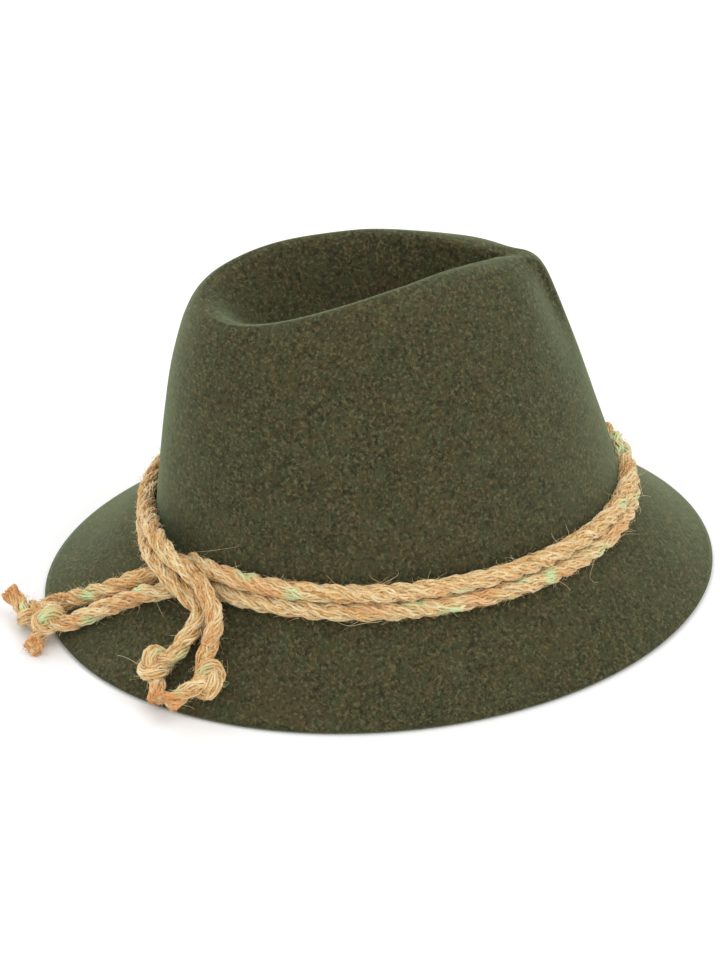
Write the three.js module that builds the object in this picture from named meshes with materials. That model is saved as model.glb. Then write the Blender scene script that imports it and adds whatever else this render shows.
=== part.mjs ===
// A wool felt hat with a teardrop crown, a pinched front and a sloping brim,
// and two jute cords laid round the crown and crossed in a loose tie.
// Millimetres, +Z up. The front of the hat faces -Y, the brim's edge stands on Z = 0,
// and the origin is the middle of the brim's oval.
// A turn is the angle round the hat in degrees: 0 at the front, 90 at -X, 180 at the back.

import * as THREE from 'three';
import { mergeVertices } from 'three/addons/utils/BufferGeometryUtils.js';

// Felt
const feltThickness = 2;

// Crown base, where the wall meets the brim
const baseHalfLength = 101;
const baseHalfWidth = 84;
const baseHeight = 32;

// Brim edge
const brimHalfLength = 145;
const brimHalfWidth = 124;
const brimSetBack = 4.5; // the brim's oval sits this far behind the crown's oval
const edgeHeight = 1.7; // height of the felt's upper face at the trimmed edge

// Crown top: the rim of the teardrop dent
const frontHeight = 108; // rim over the crown base at the front
const backHeight = 107;
const sideRise = 9; // how much higher the rim stands at the sides
const rimFrontReach = 52;
const rimBackReach = 78;
const rimHalfWidth = 51;
const rimNarrowing = 0.85; // share of the width that the rim loses at the front
const rimTaper = 0.8; // at 1 the width falls evenly from back to front, below 1 it falls sooner
const dentDepth = 25;
const dentFrontReach = 26; // the dent's lowest line runs between these two
const dentBackReach = 27;

// The two pinches beside the front
const pinchShare = 0.5; // share of the half width that a pinch takes away
const pinchTurn = 22; // degrees from the front
const pinchSpread = 11.5; // degrees
const pinchShareUp = 0.88; // height of its deepest point, as a share of the wall
const pinchReachDown = 0.22;
const pinchReachUp = 0.18;

// Jute cord
const cordRadius = 3.6;
const cordGap = 0.6; // between a cord and what it lies on
const cordSeat = cordRadius + cordGap; // from a cord's middle to what it lies on
const joinGap = 0.4; // between the end faces of two stretches of one cord
const cordSides = 10;
const knotCordRadius = 1.8; // the cord is pulled tight inside its end knot
const knotLobe = 2; // size of the knot's loops
const knotLoop = 2.4; // how far the loops reach out, in knotLobes
const knotLift = 3; // how far the loops pass over and under each other
const knotNeck = 3.2; // where the cord enters and leaves, in knotLobes from the middle
const knotOffset = 1.9; // how far its line passes beside the middle, in knotLobes
const knotEntry = 0.5; // how far over or under the middle it passes, in knotLifts
const knotOpening = 135; // degrees of the knot's own turn, where its loops begin and end
const knotTightens = { from: 0.02, to: 0.12 }; // shares of its length, from either end

// Mesh steps
const feltColumns = 60;
const columnCrowding = 0.35; // how much closer the columns stand at the front than on average
const brimRows = 4;
const wallStepsPerRow = 2;
const bandSteps = 60;
const tailSteps = 9;
const knotSteps = 40;
const knotSides = 8;
const knotTurnStep = 15;
const searchSteps = 20;
const weldDistance = 0.001;

// Profile of the crown wall from the base to the rim. up is a share of the rim's height,
// the others are the share of the way in from the base oval to the rim in that direction.
const wallRows = [
  { up: 0.0, side: 0.0, front: 0.0, back: 0.0 },
  { up: 0.2, side: 0.08, front: 0.1, back: 0.08 },
  { up: 0.45, side: 0.22, front: 0.27, back: 0.21 },
  { up: 0.68, side: 0.4, front: 0.44, back: 0.38 },
  { up: 0.84, side: 0.59, front: 0.57, back: 0.55 },
  { up: 0.93, side: 0.75, front: 0.65, back: 0.7 },
  { up: 0.98, side: 0.88, front: 0.73, back: 0.83 },
  { up: 1.0, side: 0.96, front: 0.86, back: 0.94 },
  { up: 1.0, side: 1.0, front: 1.0, back: 1.0 },
];

// Profile of the dent from the rim to its lowest line, as shares of the way in and down.
const dentRows = [
  { inward: 0.0, down: 0.0 },
  { inward: 0.08, down: 0.04 },
  { inward: 0.19, down: 0.22 },
  { inward: 0.34, down: 0.54 },
  { inward: 0.53, down: 0.82 },
  { inward: 0.75, down: 0.96 },
  { inward: 1.0, down: 1.0 },
];

// Where the cords leave their plain course near the tie: turn in degrees, then how far their
// middle lies out from the crown wall and up from the crown base, both in cordSeats.
const upperTieStart = [
  { turn: 168, out: 2.05, up: 0.33 },
  { turn: 165.5, out: 1.5, up: 1.0 },
  { turn: 162.5, out: 1.14, up: 1.76 },
  { turn: 159, out: 1.02, up: 2.33 },
];
const lowerTieStart = [
  { turn: 161.5, out: 2.67, up: -0.33 },
  { turn: 159, out: 1.76, up: 0.21 },
  { turn: 156, out: 1.21, up: 0.6 },
];
const upperTieEnd = [
  { turn: -176, out: 1.1, up: 2.81 },
  { turn: -181, out: 1.52, up: 3.29 },
  { turn: -186, out: 2.14, up: 3.81 },
  { turn: -191, out: 2.67, up: 4.1 },
];
const lowerTieEnd = [
  { turn: -171, out: 1.05, up: 0.64 },
  { turn: -177, out: 1.33, up: 0.9 },
  { turn: -183, out: 1.95, up: 1.48 },
  { turn: -188.5, out: 2.76, up: 1.98 },
];
const tieFrontTurn = 152; // the plain course runs from here round the front
const tieBackTurn = -168; // to here
const bandTurnStep = 8;

// The free ends: first the stretch that crosses over the tie, then points in millimetres.
const downLeftTie = [
  { turn: 166.5, out: 3.24, up: 2.1 },
  { turn: 161.5, out: 3.57, up: 1.66 },
  { turn: 157.5, out: 3.6, up: 0.9 },
];
const downRightTie = [
  { turn: 164.5, out: 3.14, up: 3.95 },
  { turn: 160.3, out: 3.24, up: 3.5 },
  { turn: 156.3, out: 3.1, up: 2.9 },
  { turn: 152.6, out: 2.95, up: 2.1 },
];
const leftUpperPoints = [
  [-14.2, 118.4, 28],
  [-9.6, 125.8, 23.2],
  [-3.4, 133.4, 18.4],
  [1.8, 139.8, 14.4],
  [5.4, 144.6, 11.9],
];
const leftLowerPoints = [
  [-23.2, 116.8, 26.1],
  [-19.1, 124, 22],
  [-15.4, 130.8, 18.2],
  [-12.8, 136.6, 15],
  [-11, 141.8, 12.3],
];
const downLeftPoints = [[-48.6, 100.2, 29.2], [-53, 104.2, 25], [-57.6, 111.4, 20.4]];
const downRightPoints = [
  [-54.9, 97.3, 34.2],
  [-58.2, 97.2, 29.8],
  [-61.6, 98.9, 26],
  [-66.6, 103.2, 21.6],
];

// The end knots: the side of the cord that the loops lie on, the way the cut stub points, and how
// long it is.
const endKnots = {
  left_upper: { side: [-1, 0, -0.1], stub: [0.75, 0.3, 0.5], stubLength: 8 },
  left_lower: { side: [0.3, 0.1, 1], stub: [-0.8, 0.45, 0.08], stubLength: 12 },
  down_left: { side: [0.35, 0.94, 0], stub: [-0.85, 0.2, -0.3], stubLength: 8 },
  down_right: { side: [-0.35, -0.94, 0], stub: [-0.25, 0.9, -0.2], stubLength: 12 },
};

const felt = new THREE.MeshStandardMaterial({ color: 0x4c4832, roughness: 0.95, metalness: 0 });
const jute = new THREE.MeshStandardMaterial({ color: 0xc9a874, roughness: 0.9, metalness: 0 });

// A smooth value between the rows of a table; place runs from 0 to the last row.
function sampleRows(rows, place) {
  const last = rows.length - 1;
  const i = Math.min(Math.max(Math.floor(place), 0), last - 1);
  const t = place - i;
  const sample = {};
  for (const key of Object.keys(rows[0])) {
    const from = rows[i][key];
    const to = rows[i + 1][key];
    const slopeFrom = i > 0 ? (to - rows[i - 1][key]) / 2 : to - from;
    const slopeTo = i + 2 <= last ? (rows[i + 2][key] - from) / 2 : to - from;
    const cubic = 2 * from - 2 * to + slopeFrom + slopeTo;
    const square = 3 * to - 3 * from - 2 * slopeFrom - slopeTo;
    sample[key] = ((cubic * t + square) * t + slopeFrom) * t + from;
  }
  return sample;
}

// What the crown measures at one turn, in radians from the front.
function crownAt(turn) {
  const cosine = Math.cos(turn);
  const sine = Math.sin(turn);
  const front = Math.max(cosine, 0) ** 2;
  const back = Math.max(-cosine, 0) ** 2;
  const side = 1 - front - back;
  const width = rimHalfWidth * (1 - rimNarrowing * ((1 + cosine) / 2) ** rimTaper);
  const reach = cosine > 0 ? rimFrontReach : rimBackReach;
  const middle = (dentBackReach - dentFrontReach) / 2;
  const half = (dentBackReach + dentFrontReach) / 2;
  return {
    base: new THREE.Vector2(-baseHalfWidth * sine, -baseHalfLength * cosine),
    edge: new THREE.Vector2(-brimHalfWidth * sine, brimSetBack - brimHalfLength * cosine),
    rim: new THREE.Vector2(-width * sine, -reach * cosine),
    dent: new THREE.Vector2(0, middle - half * cosine),
    height: frontHeight * front + backHeight * back + ((frontHeight + backHeight) / 2 + sideRise) * side,
    inward: (row) => side * row.side + front * row.front + back * row.back,
  };
}

// What a pinch leaves of the half width at this turn and share of the wall's height.
function pinchedWidth(turn, up) {
  const fromFront = Math.abs(Math.atan2(Math.sin(turn), Math.cos(turn)));
  const across = (fromFront - THREE.MathUtils.degToRad(pinchTurn)) / THREE.MathUtils.degToRad(pinchSpread);
  const along = (up - pinchShareUp) / (up < pinchShareUp ? pinchReachDown : pinchReachUp);
  return 1 - pinchShare * Math.exp(-(across ** 2)) * Math.exp(-(along ** 2));
}

function brimPoint(turn, share) {
  const { base, edge } = crownAt(turn);
  const plan = edge.clone().lerp(base, share);
  return new THREE.Vector3(plan.x, plan.y, THREE.MathUtils.lerp(edgeHeight, baseHeight, share));
}

function wallPoint(turn, place) {
  const crown = crownAt(turn);
  const row = sampleRows(wallRows, place);
  const plan = crown.base.clone().lerp(crown.rim, crown.inward(row));
  return new THREE.Vector3(plan.x * pinchedWidth(turn, row.up), plan.y, baseHeight + row.up * crown.height);
}

function dentPoint(turn, place) {
  const crown = crownAt(turn);
  const row = sampleRows(dentRows, place);
  const rim = new THREE.Vector2(crown.rim.x * pinchedWidth(turn, 1), crown.rim.y);
  const plan = rim.lerp(crown.dent, row.inward);
  const floor = (frontHeight + backHeight) / 2 - dentDepth;
  return new THREE.Vector3(plan.x, plan.y, baseHeight + THREE.MathUtils.lerp(crown.height, floor, row.down));
}

// One column of the felt's upper face, from the brim's edge to the dent's lowest line.
function feltColumn(turn) {
  const column = [];
  for (let row = 0; row < brimRows; row++) {
    column.push(brimPoint(turn, row / brimRows));
  }
  const wallSteps = (wallRows.length - 1) * wallStepsPerRow;
  for (let step = 0; step < wallSteps; step++) {
    column.push(wallPoint(turn, step / wallStepsPerRow));
  }
  for (let place = 0; place < dentRows.length; place++) {
    column.push(dentPoint(turn, place));
  }
  return column;
}

// Columns stand closer together at the pinched front than at the back.
function columnTurn(column) {
  const even = (column / feltColumns) * Math.PI * 2;
  return even - columnCrowding * Math.sin(even);
}

// The felt is a shell: its upper face, and a lower face one thickness beneath it.
function makeFelt() {
  const columns = [];
  for (let column = 0; column < feltColumns; column++) {
    columns.push(feltColumn(columnTurn(column)));
  }
  const rowCount = columns[0].length;
  const upper = [];
  const faces = [];
  const at = (column, row) => ((column + feltColumns) % feltColumns) * rowCount + row;
  columns.forEach((column) => column.forEach((point) => upper.push(point.x, point.y, point.z)));
  for (let column = 0; column < feltColumns; column++) {
    for (let row = 0; row + 1 < rowCount; row++) {
      faces.push(at(column, row), at(column, row + 1), at(column + 1, row + 1));
      faces.push(at(column, row), at(column + 1, row + 1), at(column + 1, row));
    }
  }
  const face = new THREE.BufferGeometry();
  face.setAttribute('position', new THREE.Float32BufferAttribute(upper, 3));
  face.setIndex(faces);
  const skin = mergeVertices(face, weldDistance);
  skin.computeVertexNormals();
  return thickened(skin, feltThickness);
}

// A closed shell from an open skin: the skin, its copy one thickness inside, and the trimmed edge
// between them, which stands on Z = 0 with a narrow flat foot.
function thickened(skin, thickness) {
  const position = skin.getAttribute('position');
  const normal = skin.getAttribute('normal');
  const count = position.count;
  const points = [];
  for (let layer = 0; layer < 2; layer++) {
    for (let i = 0; i < count; i++) {
      const point = new THREE.Vector3().fromBufferAttribute(position, i);
      const inward = new THREE.Vector3().fromBufferAttribute(normal, i);
      point.addScaledVector(inward, -thickness * layer);
      points.push(point.x, point.y, point.z);
    }
  }
  const index = skin.getIndex().array;
  const faces = [];
  const edges = new Map();
  for (let i = 0; i < index.length; i += 3) {
    const corners = [index[i], index[i + 1], index[i + 2]];
    faces.push(...corners, corners[2] + count, corners[1] + count, corners[0] + count);
    for (let corner = 0; corner < 3; corner++) {
      const from = corners[corner];
      const to = corners[(corner + 1) % 3];
      if (edges.has(to) && edges.get(to).has(from)) {
        edges.get(to).delete(from);
      } else {
        edges.set(from, (edges.get(from) ?? new Set()).add(to));
      }
    }
  }
  const foot = new Map();
  for (const [from, ends] of edges) {
    if (ends.size > 0) {
      foot.set(from, points.length / 3);
      points.push(position.getX(from), position.getY(from), 0);
      points[(from + count) * 3 + 2] = 0;
    }
  }
  for (const [from, ends] of edges) {
    for (const to of ends) {
      faces.push(to, from, foot.get(from), to, foot.get(from), foot.get(to));
      faces.push(foot.get(to), foot.get(from), from + count, foot.get(to), from + count, to + count);
    }
  }
  const shell = new THREE.BufferGeometry();
  shell.setAttribute('position', new THREE.Float32BufferAttribute(points, 3));
  shell.setIndex(faces);
  return shell;
}

// A point beside the crown wall, out from it and up from the crown base in cordSeats.
function besideCrown({ turn, out, up }) {
  const radians = THREE.MathUtils.degToRad(turn);
  const crown = crownAt(radians);
  const rise = up * cordSeat;
  const share = Math.max(rise, 0) / crown.height;
  let low = 0;
  let high = wallRows.length - 1;
  for (let halving = 0; halving < searchSteps; halving++) {
    const middle = (low + high) / 2;
    if (sampleRows(wallRows, middle).up < share) {
      low = middle;
    } else {
      high = middle;
    }
  }
  const plan = crown.base.clone().lerp(crown.rim, crown.inward(sampleRows(wallRows, low)));
  const outward = new THREE.Vector2(-baseHalfLength * Math.sin(radians), -baseHalfWidth * Math.cos(radians));
  plan.addScaledVector(outward.normalize(), out * cordSeat);
  return new THREE.Vector3(plan.x, plan.y, baseHeight + rise);
}

// Height over the crown base, in cordSeats, at which a cord against the wall rests on the brim.
function restingHeight(turn) {
  const { base, edge } = crownAt(THREE.MathUtils.degToRad(turn));
  const slope = Math.atan2(baseHeight - edgeHeight, base.distanceTo(edge));
  return 1 / Math.cos(slope) - Math.tan(slope);
}

// A band cord's course: out of the tie, round the front to the back, and up over the tie.
function bandRoute(start, end, layer) {
  const rows = [...start];
  for (let turn = tieFrontTurn; turn >= tieBackTurn; turn -= bandTurnStep) {
    const up = restingHeight(turn) + (layer * (2 * cordRadius + cordGap)) / cordSeat;
    rows.push({ turn, out: 1, up });
  }
  return [...rows, ...end].map(besideCrown);
}

function cordCurve(route) {
  return new THREE.CatmullRomCurve3(route, false, 'centripetal');
}

// The first points of the next stretch: past the end of the last by one small gap, and in line with it.
function runOn(route) {
  const curve = cordCurve(route);
  const along = curve.getTangent(1);
  return [joinGap, joinGap + cordRadius / 2].map((step) => curve.getPoint(1).addScaledVector(along, step));
}

function cordTube(route, steps) {
  const section = new THREE.Shape();
  section.absarc(0, 0, cordRadius, 0, Math.PI * 2);
  const tube = new THREE.ExtrudeGeometry(section, {
    steps,
    curveSegments: cordSides / 2,
    extrudePath: cordCurve(route),
  });
  tube.deleteAttribute('normal');
  tube.deleteAttribute('uv');
  return mergeVertices(tube, weldDistance);
}

// The course of the cord through its overhand knot: in, over and under its own loops, and out.
function knotRoute({ side, stub, stubLength }, tail) {
  const back = cordCurve(tail).getTangent(1).negate();
  const lobes = new THREE.Vector3(...side);
  lobes.addScaledVector(back, -lobes.dot(back)).normalize();
  const lift = new THREE.Vector3().crossVectors(back, lobes);
  const enter = { x: knotNeck * knotLobe, y: -knotOffset * knotLobe, z: knotEntry * knotLift };
  const from = (origin, x, y, z) => origin.clone()
    .addScaledVector(back, x)
    .addScaledVector(lobes, y)
    .addScaledVector(lift, z);
  const start = runOn(tail);
  const middle = from(start[1], -enter.x - cordRadius, -enter.y, -enter.z);
  const route = [start[0], start[1], from(middle, enter.x, enter.y, enter.z)];
  for (let degrees = -knotOpening; degrees <= knotOpening; degrees += knotTurnStep) {
    const t = THREE.MathUtils.degToRad(degrees);
    const x = knotLobe * (Math.sin(t) + knotLoop * Math.sin(2 * t));
    const y = knotLobe * (Math.cos(t) - knotLoop * Math.cos(2 * t));
    route.push(from(middle, x, y, -knotLift * Math.sin(3 * t)));
  }
  const leaving = from(middle, -enter.x, enter.y, -enter.z);
  const outward = new THREE.Vector3(...stub).normalize();
  route.push(leaving, leaving.clone().addScaledVector(outward, stubLength / 2));
  route.push(leaving.clone().addScaledVector(outward, stubLength));
  return route;
}

// A closed tube of changing radius: full at both ends and tight inside the knot.
function knotTube(route) {
  const curve = cordCurve(route);
  const frames = curve.computeFrenetFrames(knotSteps, false);
  const points = [];
  const faces = [];
  for (let step = 0; step <= knotSteps; step++) {
    const share = step / knotSteps;
    const fromEnd = Math.min(share, 1 - share);
    const tightness = THREE.MathUtils.smoothstep(fromEnd, knotTightens.from, knotTightens.to);
    const radius = THREE.MathUtils.lerp(cordRadius, knotCordRadius, tightness);
    const centre = curve.getPointAt(share);
    for (let side = 0; side < knotSides; side++) {
      const angle = (side / knotSides) * Math.PI * 2;
      const point = centre.clone()
        .addScaledVector(frames.normals[step], radius * Math.cos(angle))
        .addScaledVector(frames.binormals[step], radius * Math.sin(angle));
      points.push(point.x, point.y, point.z);
    }
  }
  for (let step = 0; step < knotSteps; step++) {
    for (let side = 0; side < knotSides; side++) {
      const a = step * knotSides + side;
      const b = step * knotSides + ((side + 1) % knotSides);
      faces.push(a, b, b + knotSides, a, b + knotSides, a + knotSides);
    }
  }
  for (let side = 1; side + 1 < knotSides; side++) {
    const last = knotSteps * knotSides;
    faces.push(0, side + 1, side, last, last + side, last + side + 1);
  }
  const tube = new THREE.BufferGeometry();
  tube.setAttribute('position', new THREE.Float32BufferAttribute(points, 3));
  tube.setIndex(faces);
  return tube;
}

// Everything is measured from the middle of the crown, which stands ahead of the brim's middle.
const hat = new THREE.Group();
hat.position.y = -brimSetBack;

function addPiece(name, geometry, material) {
  const mesh = new THREE.Mesh(geometry, material);
  mesh.name = name;
  hat.add(mesh);
}

const upperRoute = bandRoute(upperTieStart, upperTieEnd, 1);
const lowerRoute = bandRoute(lowerTieStart, lowerTieEnd, 0);
const asPoints = (list) => list.map((point) => new THREE.Vector3(...point));
const tails = {
  left_upper: [...runOn([...upperRoute].reverse()), ...asPoints(leftUpperPoints)],
  left_lower: [...runOn([...lowerRoute].reverse()), ...asPoints(leftLowerPoints)],
  down_left: [...runOn(lowerRoute), ...downLeftTie.map(besideCrown), ...asPoints(downLeftPoints)],
  down_right: [...runOn(upperRoute), ...downRightTie.map(besideCrown), ...asPoints(downRightPoints)],
};

addPiece('felt_hat', makeFelt(), felt);
addPiece('band_cord_upper', cordTube(upperRoute, bandSteps), jute);
addPiece('band_cord_lower', cordTube(lowerRoute, bandSteps), jute);
for (const [name, route] of Object.entries(tails)) {
  addPiece(`tail_${name}`, cordTube(route, tailSteps), jute);
  addPiece(`end_knot_${name}`, knotTube(knotRoute(endKnots[name], route)), jute);
}

export default hat;
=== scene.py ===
import math
import random

import bmesh
import bpy
import numpy as np
from mathutils import Matrix, Vector, noise
from mathutils.bvhtree import BVHTree


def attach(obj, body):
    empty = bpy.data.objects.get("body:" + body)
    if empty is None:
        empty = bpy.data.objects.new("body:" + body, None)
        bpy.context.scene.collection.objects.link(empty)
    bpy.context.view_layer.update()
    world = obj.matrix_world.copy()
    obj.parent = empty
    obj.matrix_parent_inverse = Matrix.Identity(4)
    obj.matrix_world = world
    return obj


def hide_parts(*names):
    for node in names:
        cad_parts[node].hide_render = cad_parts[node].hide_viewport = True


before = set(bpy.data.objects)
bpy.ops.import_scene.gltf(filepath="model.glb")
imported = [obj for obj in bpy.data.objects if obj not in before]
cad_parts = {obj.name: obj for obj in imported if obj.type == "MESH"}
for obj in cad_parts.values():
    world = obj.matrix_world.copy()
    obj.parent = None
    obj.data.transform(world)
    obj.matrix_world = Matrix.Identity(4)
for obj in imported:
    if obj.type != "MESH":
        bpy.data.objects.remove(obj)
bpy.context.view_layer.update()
scene = bpy.context.scene
print("frame loaded:", len(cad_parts), "nodes")


# Camera

view = {
    "eye": (-1.2746, 0.4594, 0.8305),
    "target": (-0.0023, 0.0097, 0.0476),
    "roll": -0.8,
    "lens": 139.0,
    "sensor": 36.0,
    "clip": (0.05, 20.0),
}


def placeCamera():
    data = bpy.data.cameras.new("camera")
    data.lens = view["lens"]
    data.sensor_width = view["sensor"]
    data.clip_start, data.clip_end = view["clip"]
    camera = bpy.data.objects.new("camera", data)
    scene.collection.objects.link(camera)
    look = Vector(view["target"]) - Vector(view["eye"])
    turned = look.to_track_quat("-Z", "Y").to_matrix().to_4x4()
    roll = Matrix.Rotation(math.radians(view["roll"]), 4, "Z")
    camera.matrix_world = Matrix.Translation(view["eye"]) @ turned @ roll
    scene.camera = camera


placeCamera()
print("camera placed")


# Shape of the felt

felt = {
    "thickness": 0.002,
    "baseHalfLength": 0.101,
    "baseHalfWidth": 0.084,
    "baseHeight": 0.032,
    "brimHalfLength": 0.145,
    "brimHalfWidth": 0.124,
    "brimSetBack": 0.0045,
    "edgeHeight": 0.0017,
    "frontHeight": 0.108,
    "backHeight": 0.107,
    "sideRise": 0.009,
    "rimFrontReach": 0.052,
    "rimBackReach": 0.078,
    "rimHalfWidth": 0.051,
    "rimNarrowing": 0.85,
    "rimTaper": 0.8,
    "dentDepth": 0.025,
    "dentFrontReach": 0.026,
    "dentBackReach": 0.027,
    "pinchShare": 0.5,
    "pinchTurn": 22.0,
    "pinchSpread": 11.5,
    "pinchShareUp": 0.88,
    "pinchReachDown": 0.22,
    "pinchReachUp": 0.18,
    "columns": 216,
    "columnCrowding": 0.35,
    "brimRows": 22,
    "rowsPerStep": 8,
    "weldDistance": 0.00002,
    "baseSoftening": 6,
    "baseSoftRows": 2,
    "pinchSoftening": 5,
    "pinchSoftTurn": 42.0,
    "pinchSoftFrom": 2,  # in rows of wallRows
    "softenFactor": 0.5,
    "unevenness": 0.00045,
    "unevenLength": 0.028,
    "evenUpTo": 0.004,
    "unevenBlend": 0.012,
}

wallRows = [  # up, then the share of the way in at the side, front and back
    (0.0, 0.0, 0.0, 0.0),
    (0.2, 0.08, 0.1, 0.08),
    (0.45, 0.22, 0.27, 0.21),
    (0.68, 0.4, 0.44, 0.38),
    (0.84, 0.59, 0.57, 0.55),
    (0.93, 0.75, 0.65, 0.7),
    (0.98, 0.88, 0.73, 0.83),
    (1.0, 0.96, 0.86, 0.94),
    (1.0, 1.0, 1.0, 1.0),
]

dentRows = [  # share of the way in, share of the way down
    (0.0, 0.0),
    (0.08, 0.04),
    (0.19, 0.22),
    (0.34, 0.54),
    (0.53, 0.82),
    (0.75, 0.96),
    (1.0, 1.0),
]


def sampleRows(rows, place):
    # a smooth value between the rows of a table
    last = len(rows) - 1
    i = min(max(int(place), 0), last - 1)
    t = place - i
    values = []
    for column in range(len(rows[0])):
        a = rows[i][column]
        b = rows[i + 1][column]
        slopeA = (b - rows[i - 1][column]) / 2 if i > 0 else b - a
        slopeB = (rows[i + 2][column] - a) / 2 if i + 2 <= last else b - a
        cubic = 2 * a - 2 * b + slopeA + slopeB
        square = 3 * b - 3 * a - 2 * slopeA - slopeB
        values.append(((cubic * t + square) * t + slopeA) * t + a)
    return values


def crownAt(turn):
    # where the base, the brim's edge, the rim and the dent lie at a turn, and how high
    cosine = math.cos(turn)
    sine = math.sin(turn)
    front = max(cosine, 0) ** 2
    back = max(-cosine, 0) ** 2
    side = 1 - front - back
    narrowed = felt["rimNarrowing"] * ((1 + cosine) / 2) ** felt["rimTaper"]
    width = felt["rimHalfWidth"] * (1 - narrowed)
    reach = felt["rimFrontReach"] if cosine > 0 else felt["rimBackReach"]
    middle = (felt["dentBackReach"] - felt["dentFrontReach"]) / 2
    half = (felt["dentBackReach"] + felt["dentFrontReach"]) / 2
    even = (felt["frontHeight"] + felt["backHeight"]) / 2
    brimReach = -felt["brimHalfLength"] * cosine + felt["brimSetBack"]
    return {
        "base": Vector((-felt["baseHalfWidth"] * sine, -felt["baseHalfLength"] * cosine)),
        "edge": Vector((-felt["brimHalfWidth"] * sine, brimReach)),
        "rim": Vector((-width * sine, -reach * cosine)),
        "dent": Vector((0, middle - half * cosine)),
        "height": felt["frontHeight"] * front + felt["backHeight"] * back + (even + felt["sideRise"]) * side,
        "floor": even - felt["dentDepth"],
        "weights": (side, front, back),
    }


def pinchedWidth(turn, up):
    # the share of the width that is left where the front of the crown is pinched
    fromFront = abs(math.atan2(math.sin(turn), math.cos(turn)))
    across = (math.degrees(fromFront) - felt["pinchTurn"]) / felt["pinchSpread"]
    reach = felt["pinchReachDown"] if up < felt["pinchShareUp"] else felt["pinchReachUp"]
    along = (up - felt["pinchShareUp"]) / reach
    return 1 - felt["pinchShare"] * math.exp(-(across ** 2)) * math.exp(-(along ** 2))


def wallPoint(crown, turn, place):
    up, side, front, back = sampleRows(wallRows, place)
    sideWeight, frontWeight, backWeight = crown["weights"]
    inward = sideWeight * side + frontWeight * front + backWeight * back
    plan = crown["base"].lerp(crown["rim"], inward)
    return Vector((plan.x * pinchedWidth(turn, up), plan.y, felt["baseHeight"] + up * crown["height"]))


def dentPoint(crown, turn, place):
    inward, down = sampleRows(dentRows, place)
    rim = Vector((crown["rim"].x * pinchedWidth(turn, 1), crown["rim"].y))
    plan = rim.lerp(crown["dent"], inward)
    height = crown["height"] + (crown["floor"] - crown["height"]) * down
    return Vector((plan.x, plan.y, felt["baseHeight"] + height))


def brimPoint(crown, share):
    plan = crown["edge"].lerp(crown["base"], share)
    height = felt["edgeHeight"] + (felt["baseHeight"] - felt["edgeHeight"]) * share
    return Vector((plan.x, plan.y, height))


def feltPoint(turn, place):
    # place runs from the brim's edge, 0, over the crown's base, 1, and its rim to the dent's line
    crown = crownAt(turn)
    wallSteps = len(wallRows) - 1
    if place < 1:
        return brimPoint(crown, place)
    if place < 1 + wallSteps:
        return wallPoint(crown, turn, place - 1)
    return dentPoint(crown, turn, place - 1 - wallSteps)


def addObject(name, mesh, material):
    piece = bpy.data.objects.new(name, mesh)
    scene.collection.objects.link(piece)
    piece.data.materials.append(material)
    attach(piece, "root")
    return piece


def soften(bm, verts, times):
    # evens out the given points that are still there after welding
    kept = [vert for vert in verts if vert.is_valid]
    allAxes = {"use_axis_x": True, "use_axis_y": True, "use_axis_z": True}
    for _ in range(times):
        bmesh.ops.smooth_vert(bm, verts=kept, factor=felt["softenFactor"], **allAxes)


def feltMesh():
    wallSteps = len(wallRows) - 1
    dentSteps = len(dentRows) - 1
    perStep = felt["rowsPerStep"]
    rows = felt["brimRows"] + (wallSteps + dentSteps) * perStep
    bm = bmesh.new()
    bmesh.ops.create_grid(bm, x_segments=felt["columns"], y_segments=rows, size=1)
    baseRing = []
    pinched = []
    for vert in bm.verts:
        even = (vert.co.x + 1) * math.pi
        turn = even - felt["columnCrowding"] * math.sin(even)
        row = round((vert.co.y + 1) / 2 * rows)
        beyond = (row - felt["brimRows"]) / perStep
        place = row / felt["brimRows"] if beyond < 0 else 1 + beyond
        vert.co = feltPoint(turn, place)
        vert.co.y -= felt["brimSetBack"]
        if abs(row - felt["brimRows"]) <= felt["baseSoftRows"]:
            baseRing.append(vert)
        fromFront = abs(math.atan2(math.sin(turn), math.cos(turn)))
        if math.degrees(fromFront) < felt["pinchSoftTurn"] and beyond > felt["pinchSoftFrom"]:
            pinched.append(vert)
    bmesh.ops.remove_doubles(bm, verts=bm.verts, dist=felt["weldDistance"])
    soften(bm, baseRing, felt["baseSoftening"])
    soften(bm, pinched, felt["pinchSoftening"])
    bmesh.ops.recalc_face_normals(bm, faces=bm.faces)
    bm.normal_update()
    if sum(face.normal.z * face.calc_area() for face in bm.faces) < 0:
        bmesh.ops.reverse_faces(bm, faces=bm.faces)
        bm.normal_update()
    edgeLift = {}
    for vert in bm.verts:
        wave = noise.noise(vert.co / felt["unevenLength"])
        fromEdge = min(max(vert.co.z - felt["evenUpTo"], 0) / felt["unevenBlend"], 1)
        edgeLift[vert] = vert.normal * (wave * felt["unevenness"] * fromEdge)
    for vert, lift in edgeLift.items():
        vert.co += lift
    for face in bm.faces:
        face.smooth = True
    mesh = bpy.data.meshes.new("felt_body")
    bm.to_mesh(mesh)
    bm.free()
    return mesh


# Routes of the cords

cordRoute = {
    "radius": 0.0036,
    "gap": 0.0006,
    "joinGap": 0.0004,
    "tieFrontTurn": 152,
    "tieBackTurn": -168,
    "turnStep": 8,
    "seatSearchSteps": 20,
    "knotLobe": 0.002,
    "knotLoop": 2.4,
    "knotLift": 0.003,
    "knotNeck": 3.2,
    "knotOffset": 1.9,
    "knotEntry": 0.5,
    "knotOpening": 135,
    "knotTurnStep": 15,
}
cordSeat = cordRoute["radius"] + cordRoute["gap"]  # from a cord's middle to what it lies on

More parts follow.
